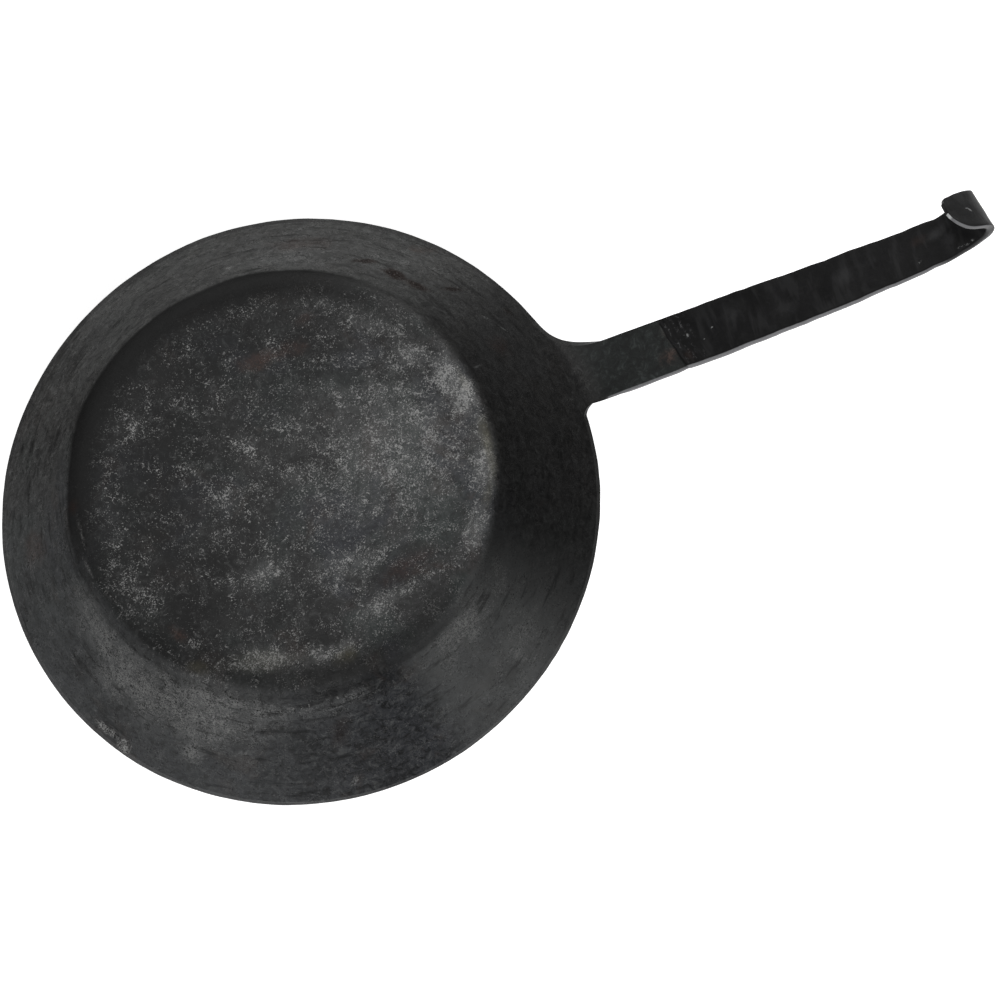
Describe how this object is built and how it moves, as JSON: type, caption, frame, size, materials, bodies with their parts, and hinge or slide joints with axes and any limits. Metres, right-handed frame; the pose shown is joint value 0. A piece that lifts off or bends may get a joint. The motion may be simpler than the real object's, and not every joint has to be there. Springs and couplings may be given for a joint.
{
  "type": "hand-forged skillet",
  "caption": "Hand-forged iron frying pan with flared walls and a rising flat-bar handle that ends in a curled hanging hook.",
  "frame": {"origin": "centre of the flat base, at the level that the pan stands on", "axes": "+Z along the pan's round axis, up out of its mouth; +X from that axis towards the handle"},
  "size_m": [0.5055, 0.3, 0.1726],
  "materials": {
    "seasoned_iron": "seasoned forged sheet, dark grey satin with bright scoured flecks and brown rust stains",
    "forge_black_iron": "black fire-scaled bar, hammered, satin"
  },
  "bodies": {
    "root": {"pan_body": "seasoned_iron", "handle_bar": "forge_black_iron"}
  },
  "joints": []
}
